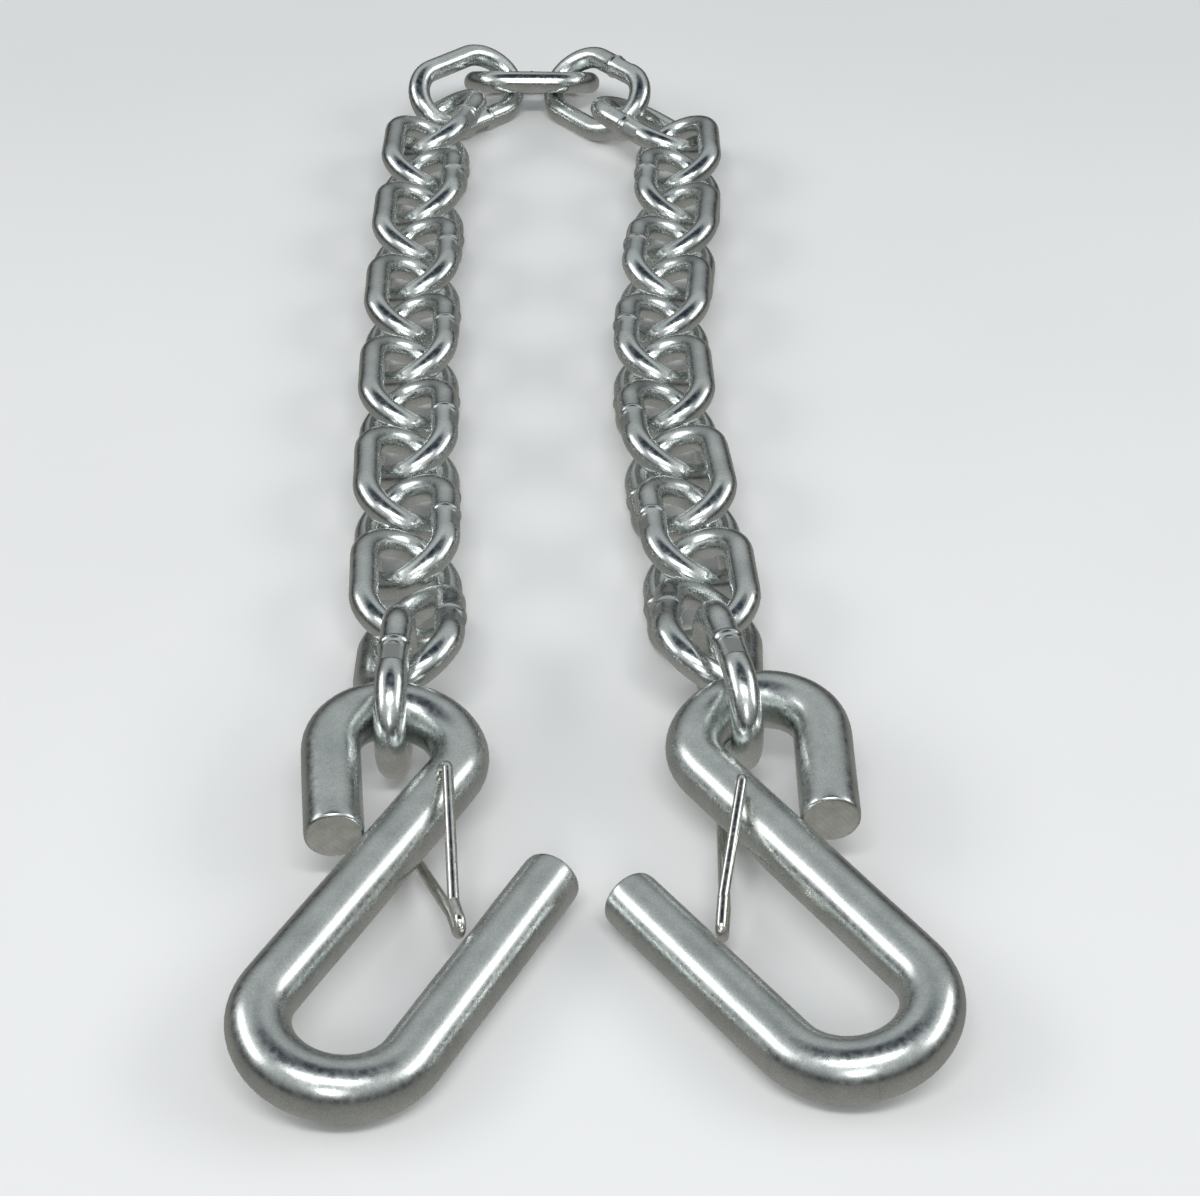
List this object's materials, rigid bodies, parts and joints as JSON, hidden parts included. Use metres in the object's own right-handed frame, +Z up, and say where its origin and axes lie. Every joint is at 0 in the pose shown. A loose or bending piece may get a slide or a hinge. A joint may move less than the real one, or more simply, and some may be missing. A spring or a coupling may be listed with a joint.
{
  "type": "safety chain hook",
  "caption": "Trailer safety chain: welded zinc-plated steel links with an S-hook at each end, each hook closed by a spring-wire latch.",
  "frame": {"origin": "middle of the laid-out chain's footprint, on the floor it lies on", "axes": "+Y along the laid chain, away from the hooks; +X to the right hook's side; +Z up from the floor"},
  "size_m": [0.1408, 0.4804, 0.0288],
  "materials": {
    "link_zinc": "bright blue-white zinc plating, semi-gloss",
    "hook_zinc": "zinc plating over bent round bar, semi-gloss",
    "latch_steel": "bright drawn spring wire"
  },
  "bodies": {
    "hook_left": {"hook_left": "hook_zinc"},
    "hook_right": {"hook_right": "hook_zinc"},
    "latch_left": {"latch_left": "latch_steel"},
    "latch_right": {"latch_right": "latch_steel"},
    "link_01": {"link_01": "link_zinc"},
    "link_02": {"link_02": "link_zinc"},
    "link_03": {"link_03": "link_zinc"},
    "link_04": {"link_04": "link_zinc"},
    "link_05": {"link_05": "link_zinc"},
    "link_06": {"link_06": "link_zinc"},
    "link_07": {"link_07": "link_zinc"},
    "link_08": {"link_08": "link_zinc"},
    "link_09": {"link_09": "link_zinc"},
    "link_10": {"link_10": "link_zinc"},
    "link_11": {"link_11": "link_zinc"},
    "link_12": {"link_12": "link_zinc"},
    "link_13": {"link_13": "link_zinc"},
    "link_14": {"link_14": "link_zinc"},
    "link_15": {"link_15": "link_zinc"},
    "link_16": {"link_16": "link_zinc"},
    "link_17": {"link_17": "link_zinc"},
    "link_18": {"link_18": "link_zinc"},
    "link_19": {"link_19": "link_zinc"},
    "link_20": {"link_20": "link_zinc"},
    "link_21": {"link_21": "link_zinc"},
    "link_22": {"link_22": "link_zinc"},
    "link_23": {"link_23": "link_zinc"},
    "link_24": {"link_24": "link_zinc"},
    "link_25": {"link_25": "link_zinc"},
    "link_26": {"link_26": "link_zinc"},
    "link_27": {"link_27": "link_zinc"},
    "link_28": {"link_28": "link_zinc"},
    "link_29": {"link_29": "link_zinc"},
    "link_30": {"link_30": "link_zinc"},
    "link_31": {"link_31": "link_zinc"}
  },
  "joints": [
    {"name": "link_16_to_link_15", "type": "hinge", "parent": "link_16", "child": "link_15", "pos_m": [-0.04158, 0.22686, 0.00788], "axis": [0.4894, -0.4564, 0.7431], "range_deg": [-8, 0]},
    {"name": "link_15_to_link_14", "type": "hinge", "parent": "link_15", "child": "link_14", "pos_m": [-0.05657, 0.19825, 0.01086], "axis": [0.4535, -0.1215, -0.8829], "range_deg": [0, 20]},
    {"name": "link_14_to_link_13", "type": "hinge", "parent": "link_14", "child": "link_13", "pos_m": [-0.05662, 0.17013, 0.00866], "axis": [0.4695, 0, 0.8829], "range_deg": [-25, 0]},
    {"name": "link_13_to_link_12", "type": "hinge", "parent": "link_13", "child": "link_12", "pos_m": [-0.05434, 0.14647, 0.00866], "axis": [0.4694, 0.0042, -0.8829], "range_deg": [0, 25]},
    {"name": "link_12_to_link_11", "type": "hinge", "parent": "link_12", "child": "link_11", "pos_m": [-0.05406, 0.12248, 0.00866], "axis": [0.4694, 0.0083, 0.8829], "range_deg": [-25, 0]},
    {"name": "link_11_to_link_10", "type": "hinge", "parent": "link_11", "child": "link_10", "pos_m": [-0.05357, 0.09848, 0.00866], "axis": [0.4693, 0.0122, -0.8829], "range_deg": [0, 25]},
    {"name": "link_10_to_link_09", "type": "hinge", "parent": "link_10", "child": "link_09", "pos_m": [-0.05289, 0.07448, 0.00866], "axis": [0.4692, 0.0158, 0.8829], "range_deg": [-25, 0]},
    {"name": "link_09_to_link_08", "type": "hinge", "parent": "link_09", "child": "link_08", "pos_m": [-0.05202, 0.05049, 0.00866], "axis": [0.4691, 0.0192, -0.8829], "range_deg": [0, 25]},
    {"name": "link_08_to_link_07", "type": "hinge", "parent": "link_08", "child": "link_07", "pos_m": [-0.05099, 0.02649, 0.00866], "axis": [0.4689, 0.0221, 0.8829], "range_deg": [-25, 0]},
    {"name": "link_07_to_link_06", "type": "hinge", "parent": "link_07", "child": "link_06", "pos_m": [-0.04981, 0.0025, 0.00866], "axis": [0.4688, 0.0246, -0.8829], "range_deg": [0, 25]},
    {"name": "link_06_to_link_05", "type": "hinge", "parent": "link_06", "child": "link_05", "pos_m": [-0.0485, -0.0215, 0.00866], "axis": [0.4687, 0.0266, 0.8829], "range_deg": [-25, 0]},
    {"name": "link_05_to_link_04", "type": "hinge", "parent": "link_05", "child": "link_04", "pos_m": [-0.04711, -0.04549, 0.00866], "axis": [0.4686, 0.0281, -0.8829], "range_deg": [0, 25]},
    {"name": "link_04_to_link_03", "type": "hinge", "parent": "link_04", "child": "link_03", "pos_m": [-0.04564, -0.06949, 0.00866], "axis": [0.4686, 0.029, 0.8829], "range_deg": [-25, 0]},
    {"name": "link_03_to_link_02", "type": "hinge", "parent": "link_03", "child": "link_02", "pos_m": [-0.04414, -0.09349, 0.00866], "axis": [0.5357, -0.1577, -0.8295], "range_deg": [-4, 25]},
    {"name": "link_02_to_link_01", "type": "hinge", "parent": "link_02", "child": "link_01", "pos_m": [-0.04218, -0.11759, 0.01536], "axis": [-1, 0, 0], "range_deg": [-20, 20]},
    {"name": "link_01_to_hook_left", "type": "hinge", "parent": "link_01", "child": "hook_left", "pos_m": [-0.04434, -0.14003, 0.0145], "axis": [-0.1453, 0.0721, -0.9868], "range_deg": [-6, 30]},
    {"name": "link_16_to_link_17", "type": "hinge", "parent": "link_16", "child": "link_17", "pos_m": [-0.00309, 0.22619, 0.00788], "axis": [-0.5239, -0.3948, 0.7547], "range_deg": [0, 6]},
    {"name": "link_17_to_link_18", "type": "hinge", "parent": "link_17", "child": "link_18", "pos_m": [0.01105, 0.19535, 0.01071], "axis": [-0.3175, -0.1942, -0.9282], "range_deg": [-20, 0]},
    {"name": "link_18_to_link_19", "type": "hinge", "parent": "link_18", "child": "link_19", "pos_m": [0.02939, 0.17414, 0.00682], "axis": [-0.4695, 0, 0.8829], "range_deg": [0, 25]},
    {"name": "link_19_to_link_20", "type": "hinge", "parent": "link_19", "child": "link_20", "pos_m": [0.02516, 0.14647, 0.00866], "axis": [-0.4689, 0.0229, -0.8829], "range_deg": [-25, 0]},
    {"name": "link_20_to_link_21", "type": "hinge", "parent": "link_20", "child": "link_21", "pos_m": [0.02362, 0.1225, 0.00866], "axis": [-0.4679, 0.0385, 0.8829], "range_deg": [0, 25]},
    {"name": "link_21_to_link_22", "type": "hinge", "parent": "link_21", "child": "link_22", "pos_m": [0.02136, 0.09854, 0.00866], "axis": [-0.4676, 0.0418, -0.8829], "range_deg": [-25, 0]},
    {"name": "link_22_to_link_23", "type": "hinge", "parent": "link_22", "child": "link_23", "pos_m": [0.01911, 0.07455, 0.00866], "axis": [-0.4684, 0.032, 0.8829], "range_deg": [0, 25]},
    {"name": "link_23_to_link_24", "type": "hinge", "parent": "link_23", "child": "link_24", "pos_m": [0.01756, 0.05052, 0.00866], "axis": [-0.4693, 0.0119, -0.8829], "range_deg": [-25, 0]},
    {"name": "link_24_to_link_25", "type": "hinge", "parent": "link_24", "child": "link_25", "pos_m": [0.01723, 0.02648, 0.00866], "axis": [-0.4693, -0.0119, 0.8829], "range_deg": [0, 25]},
    {"name": "link_25_to_link_26", "type": "hinge", "parent": "link_25", "child": "link_26", "pos_m": [0.01821, 0.00248, 0.00866], "axis": [-0.4684, -0.032, -0.8829], "range_deg": [-25, 0]},
    {"name": "link_26_to_link_27", "type": "hinge", "parent": "link_26", "child": "link_27", "pos_m": [0.02019, -0.02148, 0.00866], "axis": [-0.4676, -0.0418, 0.8829], "range_deg": [0, 25]},
    {"name": "link_27_to_link_28", "type": "hinge", "parent": "link_27", "child": "link_28", "pos_m": [0.02254, -0.04545, 0.00866], "axis": [-0.4679, -0.0385, -0.8829], "range_deg": [-25, 0]},
    {"name": "link_28_to_link_29", "type": "hinge", "parent": "link_28", "child": "link_29", "pos_m": [0.02452, -0.06946, 0.00866], "axis": [-0.4689, -0.0229, 0.8829], "range_deg": [0, 25]},
    {"name": "link_29_to_link_30", "type": "hinge", "parent": "link_29", "child": "link_30", "pos_m": [0.0255, -0.0935, 0.00866], "axis": [-0.5377, -0.1339, -0.8325], "range_deg": [-25, 0]},
    {"name": "link_30_to_link_31", "type": "hinge", "parent": "link_30", "child": "link_31", "pos_m": [0.02437, -0.11465, 0.01484], "axis": [0.9816, 0.1908, 0], "range_deg": [-20, 20]},
    {"name": "link_31_to_hook_right", "type": "hinge", "parent": "link_31", "child": "hook_right", "pos_m": [0.03234, -0.13767, 0.0145], "axis": [0.1312, 0.0842, -0.9878], "range_deg": [-30, 3]},
    {"name": "latch_left_pivot", "type": "hinge", "parent": "hook_left", "child": "latch_left", "pos_m": [-0.03519, -0.15658, 0.01141], "axis": [-0.3427, -0.3712, -0.863], "range_deg": [0, 14], "stiffness_Nm_per_rad": 0.02},
    {"name": "latch_right_pivot", "type": "hinge", "parent": "hook_right", "child": "latch_right", "pos_m": [0.02841, -0.15361, 0.0115], "axis": [0.1472, -0.4817, 0.8639], "range_deg": [0, 14], "stiffness_Nm_per_rad": 0.02}
  ]
}
